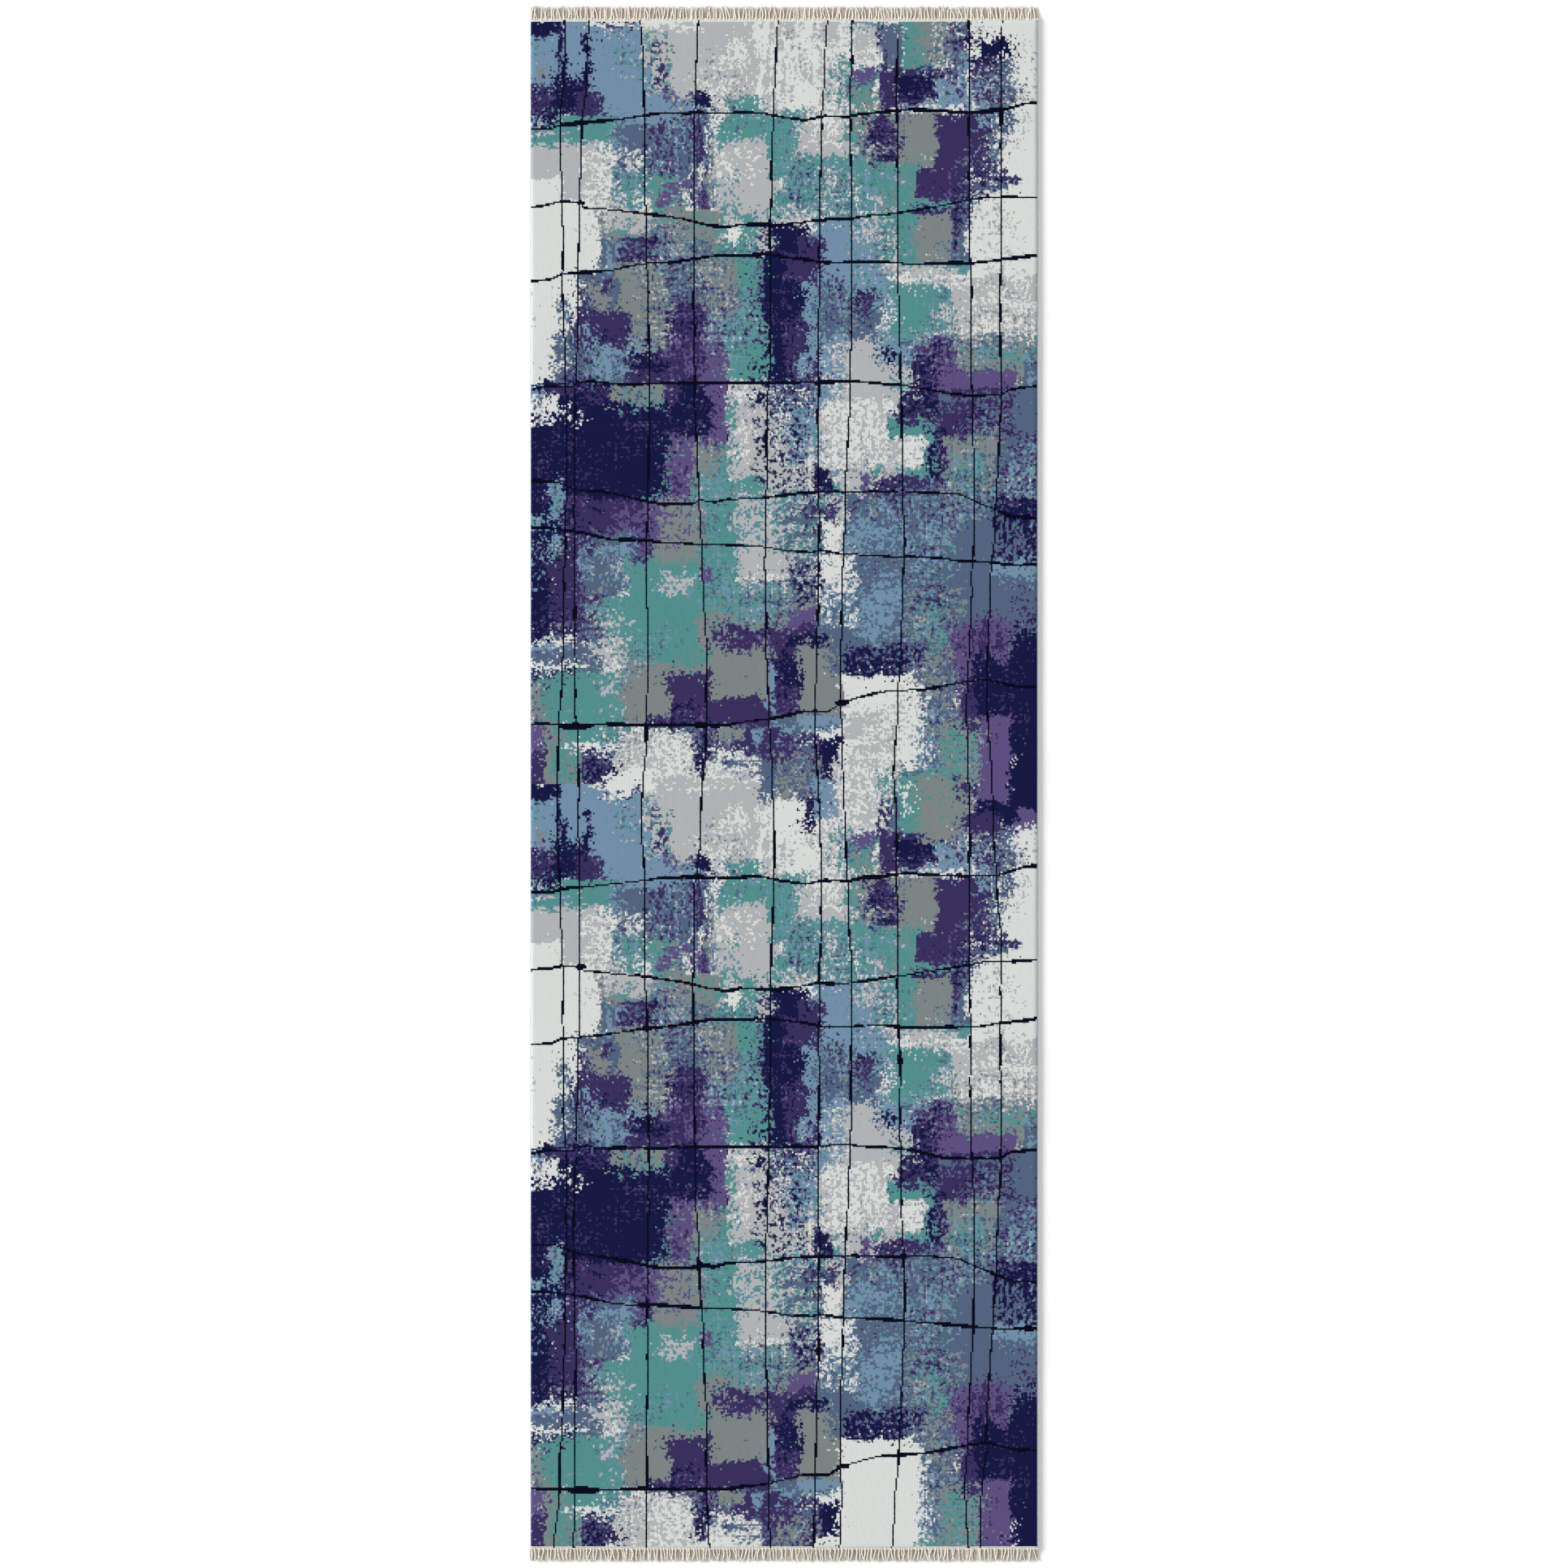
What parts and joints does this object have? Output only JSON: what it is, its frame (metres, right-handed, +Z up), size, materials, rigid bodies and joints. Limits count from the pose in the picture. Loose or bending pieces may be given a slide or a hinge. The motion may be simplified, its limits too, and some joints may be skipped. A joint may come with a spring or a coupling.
{
  "type": "runner rug",
  "caption": "Long narrow floor runner with a low woven pile in a mottled paint-stroke pattern, serged long sides and a short yarn fringe on a sewn tape at each end.",
  "frame": {"origin": "middle of the underside, where the rug lies on the floor", "axes": "+Y along the rug to the far fringe, +X across it to the right, +Z up out of the pile"},
  "size_m": [0.8, 2.4416, 0.009],
  "materials": {
    "pile_yarn": "dense low woven pile, dyed in ten yarn colours",
    "ground_yarn": "plain weave of jute and cotton",
    "latex_coating": "matt latex brushed into the weave",
    "selvedge_cord": "undyed cotton cord",
    "serging_yarn": "pale blue-grey wrapped yarn",
    "fringe_tape": "cream cotton tape",
    "fringe_yarn": "cream and beige twisted cotton",
    "sewing_thread": "cream polyester thread"
  },
  "bodies": {
    "root": {"pile": "pile_yarn", "ground_weave": "ground_yarn", "back_coating": "latex_coating", "left_selvedge_cord": "selvedge_cord", "right_selvedge_cord": "selvedge_cord", "left_serging": "serging_yarn", "right_serging": "serging_yarn", "far_fringe_tape": "fringe_tape", "near_fringe_tape": "fringe_tape", "far_fringe_yarns": "fringe_yarn", "near_fringe_yarns": "fringe_yarn", "far_tape_stitches": "sewing_thread", "near_tape_stitches": "sewing_thread"}
  },
  "joints": []
}
